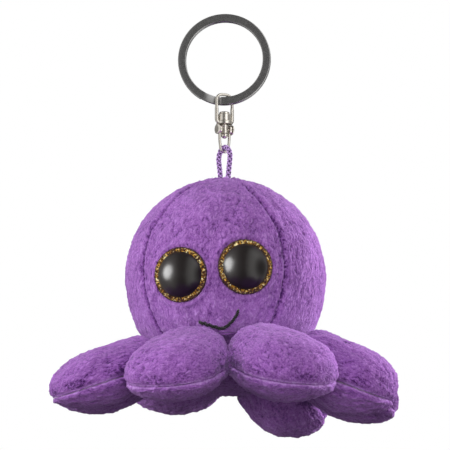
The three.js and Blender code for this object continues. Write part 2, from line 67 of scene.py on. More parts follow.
# ---- mesh making --------------------------------------------------------------------------
class Sculpt:
    """Points and faces gathered for one mesh. Each point has a shade from 0 to 1, and a place in
    the cloth, whose third axis is the way the pile is combed."""

    def __init__(self):
        self.points, self.shades, self.naps, self.faces, self.count = [], [], [], [], 0

    def add(self, points, faces, shade=0.5, nap=None):
        points = np.asarray(points, float).reshape(-1, 3)
        self.points.append(points)
        self.shades.append(np.broadcast_to(np.ravel(shade), len(points)))
        self.naps.append(points if nap is None else nap)
        self.faces += [np.asarray(f) + self.count for f in faces]
        self.count += len(points)

    def tube(self, grid, shade=0.5, closed=False):
        """Rows of points that are rings, each anticlockwise as seen from the next one."""
        rows, sides = grid.shape[:2]
        index = np.arange(rows * sides).reshape(rows, sides)
        ends = [] if closed else [index[:1, ::-1], index[-1:]]
        if closed:
            index = np.vstack([index, index[:1]])
        a, b = index[:-1], index[1:]
        quads = np.stack([a, np.roll(a, -1, 1), np.roll(b, -1, 1), b], -1).reshape(-1, 4)
        self.add(grid, [quads, *ends], shade)

    def shell(self, outer, inner, step, shade, nap):
        """A closed sheet: a fine outer grid, and an inner one with every step-th row and column."""
        rows, cols = outer.shape[:2]
        fine = np.arange(rows * cols).reshape(rows, cols)
        coarse = fine.size + np.arange(inner.shape[0] * inner.shape[1]).reshape(inner.shape[:2])
        faces = [grid_quads(fine), grid_quads(coarse)[:, ::-1]]
        faces.append(rim(fine[0], coarse[0], step)[:, ::-1])
        faces.append(rim(fine[-1], coarse[-1], step))
        faces.append(rim(fine[:, 0], coarse[:, 0], step))
        faces.append(rim(fine[:, -1], coarse[:, -1], step)[:, ::-1])
        across = outer[rows // 2, cols // 2 + 1] - outer[rows // 2, cols // 2]
        along = outer[rows // 2 + 1, cols // 2] - outer[rows // 2, cols // 2]
        outward = outer[rows // 2, cols // 2] - inner[inner.shape[0] // 2, inner.shape[1] // 2]
        if np.dot(np.cross(across, along), outward) < 0:
            faces = [f[:, ::-1] for f in faces]
        shades = np.concatenate([np.ravel(shade), np.full(coarse.size, 0.5)])
        naps = np.vstack([nap.reshape(-1, 3), nap[::step, ::step].reshape(-1, 3)])
        self.add(np.vstack([outer.reshape(-1, 3), inner.reshape(-1, 3)]), faces, shades, naps)

    def build(self, name, material, sharp=None, flat=False):
        points = np.vstack(self.points)
        loops = np.concatenate([f.ravel() for f in self.faces])
        sizes = np.concatenate([np.full(len(f), f.shape[1]) for f in self.faces])
        mesh = bpy.data.meshes.new(name)
        mesh.vertices.add(len(points))
        mesh.vertices.foreach_set("co", (points * MM).astype(np.float32).ravel())
        mesh.loops.add(len(loops))
        mesh.loops.foreach_set("vertex_index", loops.astype(np.int32))
        mesh.polygons.add(len(sizes))
        mesh.polygons.foreach_set("loop_start", np.r_[0, np.cumsum(sizes)[:-1]].astype(np.int32))
        mesh.update(calc_edges=True)
        mesh.validate()
        mesh.polygons.foreach_set("use_smooth", np.full(len(mesh.polygons), not flat))
        pile = mesh.attributes.new("pile", "FLOAT", "POINT")
        pile.data.foreach_set("value", np.concatenate(self.shades).astype(np.float32))
        nap = mesh.attributes.new("nap", "FLOAT_VECTOR", "POINT")
        nap.data.foreach_set("vector", np.vstack(self.naps).astype(np.float32).ravel())
        if sharp:
            mesh.set_sharp_from_angle(angle=math.radians(sharp))
        mesh.materials.append(material)
        piece = bpy.data.objects.new(name, mesh)
        scene.collection.objects.link(piece)
        return piece


def grid_quads(index):
    corners = [index[:-1, :-1], index[:-1, 1:], index[1:, 1:], index[1:, :-1]]
    return np.stack(corners, -1).reshape(-1, 4)


def rim(fine, coarse, step):
    """Faces that join a fine edge to a coarse one beside it."""
    faces = [
        np.r_[fine[k * step : (k + 1) * step + 1], coarse[k + 1], coarse[k]]
        for k in range(len(coarse) - 1)
    ]
    return np.array(faces)


def dress(piece, body, node):
    """The piece rides on a body and stands for a CAD node, which is hidden."""
    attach(piece, body)
    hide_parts(node)
    return piece


def about_y(p, degrees):
    c, s = math.cos(math.radians(degrees)), math.sin(math.radians(degrees))
    return np.stack([p[..., 0] * c + p[..., 2] * s, p[..., 1], p[..., 2] * c - p[..., 0] * s], -1)


def about_z(p, degrees):
    c, s = math.cos(math.radians(degrees)), math.sin(math.radians(degrees))
    return np.stack([p[..., 0] * c - p[..., 1] * s, p[..., 0] * s + p[..., 1] * c, p[..., 2]], -1)


def unit(v):
    return v / np.maximum(np.linalg.norm(v, axis=-1, keepdims=True), 1e-9)


def normals_of(grid, outside):
    """The grid's unit normals, turned to the side that faces away from the point outside."""
    across, along = np.gradient(grid, axis=1), np.gradient(grid, axis=0)
    n = unit(np.cross(across, along))
    middle = tuple(k // 2 for k in grid.shape[:2])
    return n if np.dot(n[middle], grid[middle] - outside) > 0 else -n


def smooth_route(points, spacing):
    """Points evenly spaced along a smooth curve through the given ones."""
    p = np.array(points, float)
    p = np.vstack([2 * p[0] - p[1], p, 2 * p[-1] - p[-2]])
    t = np.linspace(0, 1, 24, endpoint=False)[:, None]
    fine = [
        0.5 * (2 * b + (c - a) * t + (2 * a - 5 * b + 4 * c - d) * t**2 + (3 * b - a - 3 * c + d) * t**3)
        for a, b, c, d in zip(p, p[1:], p[2:], p[3:])
    ]
    fine = np.vstack([*fine, p[-2:-1]])
    along = np.r_[0, np.cumsum(np.linalg.norm(np.diff(fine, axis=0), axis=1))]
    at = np.linspace(0, along[-1], max(2, round(along[-1] / spacing)) + 1)
    return np.stack([np.interp(at, along, fine[:, i]) for i in range(3)], 1)


def frames_of(route, side=(0, 1, 0)):
    """Two unit vectors square to the route at each point, carried along it without twist."""
    tangent = unit(np.gradient(route, axis=0))
    first = np.zeros_like(route)
    last = np.array(side, float)
    for k, t in enumerate(tangent):
        last = unit(last - np.dot(last, t) * t)
        first[k] = last
    return first, np.cross(tangent, first)


def wire(route, radius, sides, side=(0, 1, 0)):
    """Rings round a route; radius is one number or one for each point."""
    a, b = frames_of(route, side)
    turn = 2 * np.pi * np.arange(sides) / sides
    radius = np.broadcast_to(radius, len(route))[:, None, None]
    ring = a[:, None] * np.cos(turn)[None, :, None] + b[:, None] * np.sin(turn)[None, :, None]
    return route[:, None] + radius * ring


def turned(profile, sides=64):
    """Rings of a turned piece about +Z, from [radius, height] pairs."""
    turn = 2 * np.pi * np.arange(sides) / sides
    r, z = np.array(profile, float).T
    ring = [np.outer(r, np.cos(turn)), np.outer(r, np.sin(turn)), np.outer(z, np.ones(sides))]
    return np.stack(ring, -1)


# ---- noise --------------------------------------------------------------------------------
dice = np.random.default_rng(11)
ORDER = dice.permutation(256)
SLOPES = unit(dice.normal(size=(256, 3)))


def noise(p, seed=0):
    """Smooth noise from about -1 to 1, with bumps about one unit apart."""
    p = np.asarray(p, float)
    cell = np.floor(p).astype(np.int64)
    f = p - cell
    cell = cell + seed * 53
    w = f * f * f * (f * (6 * f - 15) + 10)
    total = np.zeros(p.shape[:-1])
    for corner in np.ndindex(2, 2, 2):
        x, y, z = (cell[..., i] + corner[i] for i in range(3))
        slope = SLOPES[ORDER[(ORDER[(ORDER[x & 255] + y) & 255] + z) & 255]]
        share = np.prod(np.where(np.array(corner) == 1, w, 1 - w), axis=-1)
        total += share * ((f - np.array(corner)) * slope).sum(-1)
    return 1.6 * total


def plush(p, seed):
    """The pile's height in mm, and its shade, from lumps of filling, clumps, curly tufts of two
    sizes and scattered pits. The pile is combed along the points' third axis."""
    curl = np.stack([noise(p / 1.9, seed + k) for k in (3, 4, 5)], -1)
    combed = (p + 0.5 * curl) * np.array([1.0, 1.0, 0.45])
    lumps = noise(p / 7.0, seed)
    tufts = 2.2 * np.abs(noise(combed / 0.85, seed + 1)) - 0.6
    small = noise(combed / 0.45, seed + 2)
    clumps = noise(combed / 2.0, seed + 6)
    pitted = np.clip(noise(p / 9.0, seed + 8) + 0.7, 0, 1)
    pits = np.clip(noise(combed / 1.15, seed + 7) - 0.12, 0, 0.5) * pitted
    height = 0.24 * lumps + 0.3 * clumps + 0.17 * tufts + 0.12 * small - 0.3 * pits
    # the colour follows the height: darker in the hollows and pits, a painted shade, and lighter on the
    # tufts
    return height, np.clip(0.49 + 0.1 * clumps + 0.26 * tufts + 0.2 * small - 0.5 * pits, 0, 0.8)


# ---- materials ----------------------------------------------------------------------------
def rgb(r, g, b):
    """A colour given as 0 to 255, as light."""
    shares = (r / 255, g / 255, b / 255)
    linear = [c / 12.92 if c <= 0.04045 else ((c + 0.055) / 1.055) ** 2.4 for c in shares]
    return (*linear, 1.0)


def new_material(name, **sockets):
    material = bpy.data.materials.new(name)
    material.use_nodes = True
    tree = material.node_tree
    surface = tree.nodes["Principled BSDF"]
    for socket, value in sockets.items():
        surface.inputs[socket.replace("_", " ")].default_value = value
    return material, tree, surface


def node(tree, kind, **values):
    made = tree.nodes.new(kind)
    for name, value in values.items():
        if name in made.inputs:
            made.inputs[name].default_value = value
        else:
            setattr(made, name, value)
    return made


def ramp(tree, source, stops):
    made = tree.nodes.new("ShaderNodeValToRGB")
    elements = made.color_ramp.elements
    while len(elements) < len(stops):
        elements.new(0.5)
    for element, (at, colour) in zip(elements, stops):
        element.position, element.color = at, colour
    tree.links.new(source, made.inputs["Fac"])
    return made.outputs["Color"]


def bump(tree, surface, height, strength, distance):
    made = node(tree, "ShaderNodeBump", Strength=strength, Distance=distance)
    tree.links.new(height, made.inputs["Height"])
    tree.links.new(made.outputs["Normal"], surface.inputs["Normal"])
    return made


def plush_material(name, valley, middle, tip, seed):
    material, tree, surface = new_material(
        name, Roughness=0.85, Sheen_Weight=0.45, Sheen_Roughness=0.4, Sheen_Tint=rgb(222, 184, 244)
    )
    surface.inputs["Specular IOR Level"].default_value = 0.15
    where = node(tree, "ShaderNodeAttribute", attribute_name="nap").outputs["Vector"]
    height = node(tree, "ShaderNodeAttribute", attribute_name="pile").outputs["Fac"]
    stretch = node(tree, "ShaderNodeMapping", Scale=(1.0, 1.0, 0.35))
    tree.links.new(where, stretch.inputs["Vector"])
    fibres = node(tree, "ShaderNodeTexNoise", Scale=4.4, Detail=3.0, Roughness=0.72, Distortion=0.3)
    tree.links.new(stretch.outputs["Vector"], fibres.inputs["Vector"])
    # a point's shade is its height in the pile, parted here and there by the fibres; the low colours are a
    # painted shade in the pile's hollows and the top one a painted highlight
    level = node(tree, "ShaderNodeMath", operation="MULTIPLY_ADD")
    level.inputs[1].default_value = 1.7
    tree.links.new(fibres.outputs["Fac"], level.inputs[0])
    lowered = node(tree, "ShaderNodeMath", operation="SUBTRACT")
    lowered.inputs[1].default_value = 0.87
    tree.links.new(height, lowered.inputs[0])
    tree.links.new(lowered.outputs["Value"], level.inputs[2])
    # the lightest colour is a painted highlight on the highest fibres
    fibre_highlight = rgb(188, 146, 208)
    pile = ramp(tree, level.outputs["Value"], [(0.0, valley), (0.36, middle), (0.74, tip), (1.0, fibre_highlight)])
    patches = node(tree, "ShaderNodeTexNoise", Scale=0.22, Detail=3.0, noise_dimensions="4D", W=seed)
    tree.links.new(stretch.outputs["Vector"], patches.inputs["Vector"])
    shade = ramp(tree, patches.outputs["Fac"], [(0.3, (0.8, 0.78, 0.82, 1)), (0.7, (1.1, 1.1, 1.1, 1))])
    mix = node(tree, "ShaderNodeMix", data_type="RGBA", blend_type="MULTIPLY")
    mix.inputs["Factor"].default_value = 1.0
    tree.links.new(pile, mix.inputs[6])
    tree.links.new(shade, mix.inputs[7])
    tree.links.new(mix.outputs[2], surface.inputs["Base Color"])
    bump(tree, surface, fibres.outputs["Fac"], 0.8, 0.0004)
    return material


PLUSH_HEAD = plush_material("plush_head", rgb(72, 34, 94), rgb(143, 90, 166), rgb(168, 118, 191), 1.0)
PLUSH_ARM = plush_material("plush_arm", rgb(68, 32, 90), rgb(142, 87, 166), rgb(166, 114, 190), 2.0)


def thread_material(name, dark, light, roughness, scale):
    material, tree, surface = new_material(name, Roughness=roughness, Sheen_Weight=0.25)
    where = node(tree, "ShaderNodeTexCoord").outputs["Object"]
    ply = node(tree, "ShaderNodeAttribute", attribute_name="pile").outputs["Fac"]
    tree.links.new(ramp(tree, ply, [(0.0, dark), (1.0, light)]), surface.inputs["Base Color"])
    fibres = node(tree, "ShaderNodeTexNoise", Scale=scale, Detail=3.0)
    tree.links.new(where, fibres.inputs["Vector"])
    bump(tree, surface, fibres.outputs["Fac"], 0.5, 0.0001)
    return material


CORD = thread_material("braided_cord", rgb(62, 34, 84), rgb(192, 152, 216), 0.6, 5000.0)
THREAD = thread_material("mouth_thread", rgb(6, 5, 7), rgb(20, 17, 21), 0.6, 5000.0)
FILLING = thread_material("filling", rgb(215, 210, 200), rgb(245, 243, 238), 0.95, 900.0)


def steel_material(name, colour, roughness, scratch):
    material, tree, surface = new_material(name, Base_Color=colour, Metallic=1.0, Roughness=roughness)
    where = node(tree, "ShaderNodeTexCoord").outputs["Object"]
    wear = node(tree, "ShaderNodeTexNoise", Scale=900.0, Detail=4.0)
    tree.links.new(where, wear.inputs["Vector"])
    level = node(tree, "ShaderNodeMapRange")
    level.inputs["To Min"].default_value = roughness * 0.7
    level.inputs["To Max"].default_value = roughness * 1.5
    tree.links.new(wear.outputs["Fac"], level.inputs["Value"])
    tree.links.new(level.outputs["Result"], surface.inputs["Roughness"])
    bump(tree, surface, wear.outputs["Fac"], scratch, 0.00005)
    return material


RING_STEEL = steel_material("ring_steel", rgb(180, 180, 181), 0.26, 0.04)
SWIVEL_STEEL = steel_material("swivel_steel", rgb(232, 227, 219), 0.24, 0.06)


def eye_black_material():
    material, tree, surface = new_material(
        "eye_black", Base_Color=rgb(18, 14, 14), Roughness=0.3, Specular_IOR_Level=0.5
    )
    where = node(tree, "ShaderNodeTexCoord").outputs["Object"]
    haze = node(tree, "ShaderNodeTexNoise", Scale=300.0, Detail=3.0)
    tree.links.new(where, haze.inputs["Vector"])
    level = node(tree, "ShaderNodeMapRange")
    level.inputs["To Min"].default_value = 0.25
    level.inputs["To Max"].default_value = 0.36
    tree.links.new(haze.outputs["Fac"], level.inputs["Value"])
    tree.links.new(level.outputs["Result"], surface.inputs["Roughness"])
    return material


def glitter_material():
    material, tree, surface = new_material("eye_glitter", Metallic=0.4, Roughness=0.3)
    where = node(tree, "ShaderNodeTexCoord").outputs["Object"]
    flakes = node(tree, "ShaderNodeTexVoronoi", Scale=2600.0)
    tree.links.new(where, flakes.inputs["Vector"])
    split = node(tree, "ShaderNodeSeparateColor")
    tree.links.new(flakes.outputs["Color"], split.inputs["Color"])
    stops = [(0.0, rgb(42, 25, 24)), (0.4, rgb(88, 55, 38)), (0.62, rgb(146, 100, 40)),
             (0.82, rgb(232, 182, 68)), (1.0, rgb(255, 248, 196))]
    flake = ramp(tree, split.outputs["Red"], stops)
    edge = node(tree, "ShaderNodeAttribute", attribute_name="pile").outputs["Fac"]
    mix = node(tree, "ShaderNodeMix", data_type="RGBA")
    tree.links.new(edge, mix.inputs["Factor"])
    mix.inputs[6].default_value = rgb(66, 42, 44)
    tree.links.new(flake, mix.inputs[7])
    tree.links.new(mix.outputs[2], surface.inputs["Base Color"])
    bump(tree, surface, split.outputs["Green"], 0.9, 0.0002)
    return material


EYE_BLACK = eye_black_material()
GLITTER = glitter_material()
WASHER, washer_tree, washer_surface = new_material(
    "washer_plastic", Base_Color=rgb(232, 230, 224), Roughness=0.45
)
moulding = node(washer_tree, "ShaderNodeTexNoise", Scale=700.0, Detail=3.0)
bump(washer_tree, washer_surface, moulding.outputs["Fac"], 0.3, 0.0001)


# ---- braided cord -------------------------------------------------------------------------
BAIL_TURN = 36
CORD_TURN = BAIL_TURN - 90
CORD_R = 0.85
CORD_TOP = -42.2
CORD_ARCH = 3.6
KNOT_Z = -61.0


def braid(sculpt, route, radius, pitch):
    """Six plies that wind both ways round a route and pass over and under each other."""
    a, b = frames_of(route)
    along = np.r_[0, np.cumsum(np.linalg.norm(np.diff(route, axis=0), axis=1))]
    # the core between the plies has the darkest colour, a painted shade in the gaps
    sculpt.tube(wire(route, 0.5 * radius, 9, b[0]), 0.0)
    for way in (1, -1):
        for k in range(3):
            turn = way * (2 * np.pi * along / pitch) + k * 2 * np.pi / 3
            over = 0.16 * way * np.cos(6 * np.pi * along / pitch)
            out = a * np.cos(turn)[:, None] + b * np.sin(turn)[:, None]
            line = route + radius * (0.63 + over)[:, None] * out
            ring = wire(line, 0.33 * radius, 10, b[0])
            # painted shade: a ply is darkest down its sides and where it dips under the next one
            proud = np.einsum("ijk,ik->ij", ring - line[:, None], out) / (0.33 * radius)
            lit = np.clip(0.5 + over / 0.2, 0, 1)[:, None]
            sculpt.tube(ring, lit * (1.5 * proud - 0.2).clip(0, 1))


side = [(1.9, -57.8), (2.1, -56.0), (2.35, -53.0), (2.9, -49.5), (CORD_ARCH - 0.05, -46.3)]
arch = [
    (CORD_ARCH * math.cos(a), CORD_TOP - CORD_ARCH * (1 - math.sin(a)))
    for a in np.linspace(0, np.pi, 9)
]
cord_points = [*side, *arch, *[(-x, z) for x, z in reversed(side)]]
cord_route = about_z(np.array([(x, 0, z) for x, z in smooth_route(
    [(x, z, 0) for x, z in cord_points], 0.16)[:, :2]]), CORD_TURN)
cord_sculpt = Sculpt()
braid(cord_sculpt, cord_route, CORD_R, 4.5)
cord_loop = dress(cord_sculpt.build("cord_loop_braid", CORD), "toy", "cord_loop")

# the two ends are tied in one knot under the crown
t = np.linspace(0, 2 * np.pi, 150)
trefoil = [np.sin(t) + 2 * np.sin(2 * t), np.cos(t) - 2 * np.cos(2 * t), -1.4 * np.sin(3 * t)]
knot_route = 0.52 * np.stack(trefoil, -1)
knot = Sculpt()
braid(knot, about_z(knot_route + np.array([0, 0, KNOT_Z]), CORD_TURN), CORD_R, 4.5)
dress(knot.build("cord_knot_braid", CORD), "toy", "cord_knot")


# ---- split ring ---------------------------------------------------------------------------
RING_Z = -12.7
RING_MIDDLE = 14.0


def split_ring():
    section = []
    for quarter, (sx, sy) in enumerate([(1, 1), (-1, 1), (-1, -1), (1, -1)]):
        for a in np.linspace(0, 90, 6):
            turn = math.radians(quarter * 90 + a)
            across = sx * (1.3 - 0.24) + 0.24 * math.cos(turn)
            thick = sy * (0.475 - 0.24) + 0.24 * math.sin(turn)
            section.append((across, thick))
    section = np.array(section)
    turn = np.linspace(12, 708, 560)
    step = np.clip((turn - 346) / 28, 0, 1)
    layer = -0.55 + 1.1 * step * step * (3 - 2 * step)
    angle = np.radians(turn - 108)[:, None]
    end = np.minimum(1, 0.55 + 0.45 * np.sqrt(np.minimum(turn - 12, 708 - turn) / 1.6))[:, None]
    r = RING_MIDDLE + section[:, 0] * end
    y = layer[:, None] + section[:, 1] * end
    ring = Sculpt()
    ring.tube(np.stack([r * np.cos(angle), y, RING_Z + r * np.sin(angle)], -1))
    return ring.build("split_ring_wire", RING_STEEL, sharp=60)


dress(split_ring(), "ring", "split_ring")

# ---- swivel -------------------------------------------------------------------------------
BAIL_HALF = 2.95
ARCH_Z = -26.95
PLATE_Z = -34.05
TRUNNION_Z = -36.2


def flat_route(points, spacing):
    """A smooth route through [x, z] points, in the bails' plane."""
    return smooth_route([(x, 0, z) for x, z in points], spacing)


def rounded(profile, amount=0.12):
    """The profile with each inner corner cut back a little on both sides."""
    p = [np.array(q, float) for q in profile]
    out = [p[0]]
    for before, at, after in zip(p, p[1:], p[2:]):
        for other, share in ((before, 1.0), (before, 0.35), (after, 0.35), (after, 1.0)):
            long = np.linalg.norm(other - at)
            move = min(amount, 0.4 * long) * share
            out.append(at + (other - at) / max(long, 1e-6) * move)
    return [*out, p[-1]]


def upper_bail():
    foot = PLATE_Z + 1.1
    corner = [(1.6, PLATE_Z), (BAIL_HALF - 0.75, PLATE_Z + 0.12), (BAIL_HALF - 0.18, PLATE_Z + 0.55),
              (BAIL_HALF, foot + 0.2), (BAIL_HALF, -30)]
    n = 2 / 2.6
    top = [
        (math.copysign(BAIL_HALF * abs(math.cos(a)) ** n, math.cos(a)), ARCH_Z + 2.45 * math.sin(a) ** n)
        for a in np.linspace(0.0, math.pi, 21)
    ]
    route = flat_route([*corner, *top, *[(-x, z) for x, z in reversed(corner)]], 0.12)
    bail = Sculpt()
    # the wire is thinner over the split ring, to leave room for it
    bail.tube(about_z(wire(route, 0.49 + 0.11 * np.clip(-28.4 - route[:, 2], 0, 1), 20), BAIL_TURN))
    low, high = PLATE_Z - 0.45, PLATE_Z + 0.45
    plate = rounded([(1.05, PLATE_Z), (1.05, low), (2.6, low), (2.6, high), (1.05, high), (1.05, PLATE_Z)])
    bail.tube(turned(plate[:-1]), closed=True)
    return bail.build("upper_bail_wire", SWIVEL_STEEL, sharp=50)


def rivet():
    low = PLATE_Z + 0.65
    shank = [(0.01, -39.2), (0.6, -39.1), (1.1, -38.6), (1.2, -38.1), (1.0, -37.7), (0.75, -37.7),
             (0.75, low)]
    head = [(2.05, low), (2.05, low + 2.1), (1.75, low + 2.3), (1.75, low + 2.75), (1.5, low + 3.0),
            (0.01, low + 3.0)]
    profile = [*shank, *head]
    body = Sculpt()
    body.tube(turned(rounded(profile)))
    return body.build("swivel_rivet_turned", SWIVEL_STEEL, sharp=50)


def barrel():
    body = Sculpt()
    profile = [(0.95, -36), (0.95, -37.5), (1.25, -37.5), (1.25, -36.9), (1.16, -36.8), (1.16, -35.5),
               (1.25, -35.4), (1.25, -34.8), (0.95, -34.8), (0.95, -36)]
    body.tube(turned(rounded(profile, 0.1)[:-1]), closed=True)
    pin = [(0.01, 1.1), (0.6, 1.1), (0.6, 2.45), (1.7, 2.45), (1.7, 2.75), (1.3, 3.0), (0.8, 3.06),
           (0.01, 3.08)]
    for way in (90, -90):
        trunnion = about_y(turned(rounded(pin), 40), way) + np.array([0, 0, TRUNNION_Z])
        body.tube(about_z(trunnion, BAIL_TURN))
    return body.build("swivel_barrel_turned", SWIVEL_STEEL, sharp=50)


def lower_bail():
    leg = [(1.85, TRUNNION_Z - 0.95), (1.85, TRUNNION_Z - 2.2), (1.75, CORD_TOP + 1.9),
           (1.53, CORD_TOP + 0.5)]
    bend = [(1.5 * math.cos(a), CORD_TOP - 1.5 * math.sin(a)) for a in np.linspace(0, math.pi, 13)]
    route = flat_route([*leg, *bend, *[(-x, z) for x, z in reversed(leg)]], 0.1)
    bail = Sculpt()
    bail.tube(about_z(wire(route, 0.46, 18), BAIL_TURN))
    eye = rounded([(0.9, 1.85), (0.9, 1.5), (1.4, 1.5), (1.4, 2.2), (0.9, 2.2), (0.9, 1.85)], 0.18)
    for way in (90, -90):
        ring = about_y(turned(eye[:-1], 48), way) + np.array([0, 0, TRUNNION_Z])
        bail.tube(about_z(ring, BAIL_TURN), closed=True)
    return bail.build("lower_bail_wire", SWIVEL_STEEL, sharp=50)


dress(upper_bail(), "upper_link", "upper_bail")
dress(rivet(), "swivel", "swivel_rivet")
dress(barrel(), "swivel", "swivel_barrel")
dress(lower_bail(), "lower_link", "lower_bail")

# ---- head ---------------------------------------------------------------------------------
HEAD = np.array([0.3, 1.1, -85.0])
HEAD_R = 32.5
HEAD_TOP = 32.0
HEAD_LOW = 36.0
FABRIC = 1.4
HEAD_EDGE = -21.8
SEAMS = [-50, 41, 133, 217]
SEAM_BOW = 19
CROWN_HOLE = 3.0
EYES = {"left": (-21.2, -3.8, -13.5), "right": (16.1, -1.7, 15.0)}  # turn, height, and the way it faces
EYE_R = 8.7
PUPIL_R = 7.2


def head_point(turn, rise, inset=0.0):
    """A point of the head's wall, at a turn from the face's middle and a height from the head's.
    The crown leans towards the cord."""
    turn, rise = np.broadcast_arrays(np.asarray(turn, float), np.asarray(rise, float))
    height = np.where(rise > 0, HEAD_TOP, HEAD_LOW) - inset
    sine = np.sqrt(np.maximum(0, 1 - (rise / height) ** 2))
    lean = np.where(rise > 0, (rise / height) ** 2, 0)
    out = (HEAD_R - inset) * sine
    x = HEAD[0] + out * np.sin(np.radians(turn)) - lean * HEAD[0]
    y = HEAD[1] - out * np.cos(np.radians(turn)) - lean * HEAD[1]
    return np.stack([x, y, HEAD[2] + rise], -1)


def seam_turn(seam, rise):
    """Where a seam runs: bowed towards the face or the back, and never quite straight."""
    front, rear = (SEAMS[0] + SEAMS[1]) / 2, (SEAMS[2] + SEAMS[3]) / 2
    base = SEAMS[seam % 4]
    towards = front if abs(base - front) < abs(base - rear) else rear
    bow = np.where(rise > 0, SEAM_BOW * (rise / HEAD_TOP) ** 2, 5 * (rise / HEAD_EDGE) ** 2)
    drift = np.stack([rise / 3.2, 0 * rise, 0 * rise + seam % 4 + 0.5], -1)
    wander = 0.35 * noise(drift, 5) + 0.12 * noise(2.7 * drift, 6)
    return base + np.sign(towards - base) * bow + wander + (360 if seam > 3 else 0)


def seam_fold(distance, ragged):
    """How far cloth stands off beside a sewn seam: the edge turns in, with a soft roll by it."""
    roll = (0.35 + 0.15 * ragged) * np.exp(-(((distance - 1.7) / 0.9) ** 2))
    return roll - (0.95 + 0.5 * ragged) * np.exp(-((distance / (0.65 + 0.2 * ragged)) ** 2))


def eye_frame(side):
    """(the middle of an eye's seat, its outward direction)"""
    turn, rise, facing = EYES[side]
    a = math.radians(facing)
    normal = np.array([math.sin(a), -math.cos(a), (rise / HEAD_LOW**2) * HEAD_R])
    return head_point(turn, rise), unit(normal)


def head_panel(k):
    step = 6
    rows, cols = step * round(42 * FINE), step * round(44 * FINE)
    v = np.linspace(0, 1, rows + 1)[:, None]
    t = np.linspace(0, 1, cols + 1)[None, :]
    u = t - 0.45 * np.sin(2 * np.pi * t) / (2 * np.pi)

    def sheet(u, v, inset):
        polar_top = math.asin(CROWN_HOLE / HEAD_R)
        polar = polar_top + v * (math.acos(HEAD_EDGE / HEAD_LOW) - polar_top)
        rise = np.where(np.cos(polar) > 0, HEAD_TOP - inset, HEAD_LOW - inset) * np.cos(polar)
        left, right = seam_turn(k, rise), seam_turn(k + 1, rise)
        turn = left + (right - left) * u
        return head_point(turn, rise + 0 * u, inset), turn, polar, left, right

    wall, turn, polar, left, right = sheet(u, v, 0.0)
    arc = np.radians(1) * HEAD_R * np.maximum(np.sin(polar), 0.02)
    beside = np.minimum(turn - left, right - turn) * arc
    out = normals_of(wall, HEAD)
    flat = wall - HEAD
    height, shade = plush(flat, 10)
    # near the seams the cloth is drawn in by the stitches
    pulls = noise(np.stack([wall[..., 2] / 1.5, 0 * beside, 0 * beside + k], -1), 3)
    ragged = noise(np.stack([wall[..., 2] / 0.8, beside / 1.5, 0 * beside + k], -1), 8)
    height += seam_fold(beside, ragged) + 0.15 * pulls * np.exp(-beside / 2.5) - 0.25 * np.exp(-beside / 4.5)
    # painted light makes the colour lighter on the lower head; the colour is also darker in the seams
    lower = 0.14 * np.clip(-flat[..., 2] / 16, 0, 1)
    shade = shade + lower - (0.4 + 0.4 * ragged) * np.exp(-((beside / 0.7) ** 2))
    # the crown is gathered round the cord
    crown = np.exp(-(((HEAD_R * polar - CROWN_HOLE) / 3.0) ** 2))
    hem = np.exp(-(((HEAD_R * polar - CROWN_HOLE) / 0.8) ** 2))
    height += crown * 0.3 * np.sin(np.radians(turn) * 13) - 1.1 * hem
    if k == 0:
        for side in EYES:
            seat, normal = eye_frame(side)
            local = wall - seat
            depth = local @ normal
            radius = np.linalg.norm(local - depth[..., None] * normal, axis=-1)
            height += 0.55 * np.exp(-(((radius - EYE_R - 1.1) / 0.8) ** 2)) * (local @ normal > -8)
            under = np.clip((EYE_R + 0.25 - radius) / 0.5, 0, 1)
            height = height * (1 - under) + under * (-1.3 - depth)
    wall = wall + out * height[..., None]
    panel = Sculpt()
    inner, *_ = sheet(u[:, ::step], v[::step], FABRIC)
    panel.shell(wall, inner, step, np.clip(shade, 0, 1), flat)
    return panel


for k, name in enumerate(["face", "right", "back", "left"]):
    piece = head_panel(k).build(f"head_{name}_plush", PLUSH_HEAD)
    dress(piece, "toy", f"head_panel_{name}")


def pod(surface, around, along, seed):
    """A lumpy closed body of filling, from a surface of two numbers from 0 to 1."""
    u = np.arange(around)[None, :] / around
    v = (np.arange(along)[:, None] + 0.5) / along
    grid = surface(u + 0 * v, v + 0 * u)
    height = 0.35 * (noise(grid / 2.2, seed) - 1.0)
    middle = grid.reshape(-1, 3).mean(0)
    grid = grid + unit(grid - middle) * height[..., None]
    made = Sculpt()
    made.tube(grid, np.ravel(0.5 + 0.5 * noise(grid / 1.1, seed + 1)).clip(0, 1))
    return made


def head_filling(u, v):
    inset = FABRIC + 0.6
    low = HEAD_EDGE + 1.0
    polar = math.acos(low / (HEAD_LOW - inset)) * (1 - v)
    height = np.where(polar < np.pi / 2, HEAD_TOP - inset, HEAD_LOW - inset)
    return head_point(360 * u, height * np.cos(polar), inset)


filling = pod(lambda u, v: head_filling(1 - u, v), 96, 60, 21)
for points in filling.points:
    # hollows for the knot and for the eyes' washers
    flat = np.hypot(points[:, 0], points[:, 1])
    sink = (flat < 4.0) & (points[:, 2] > -66)
    points[sink, 2] = -64.2
    for side_name in EYES:
        seat, normal = eye_frame(side_name)
        depth = (points - seat) @ normal
        radius = np.linalg.norm(points - seat - depth[:, None] * normal, axis=1)
        push = np.where((radius < 8.2) & (depth > -8.0), depth + 8.0, 0)
        points -= push[:, None] * normal
piece = dress(filling.build("head_filling", FILLING), "toy", "head_stuffing")


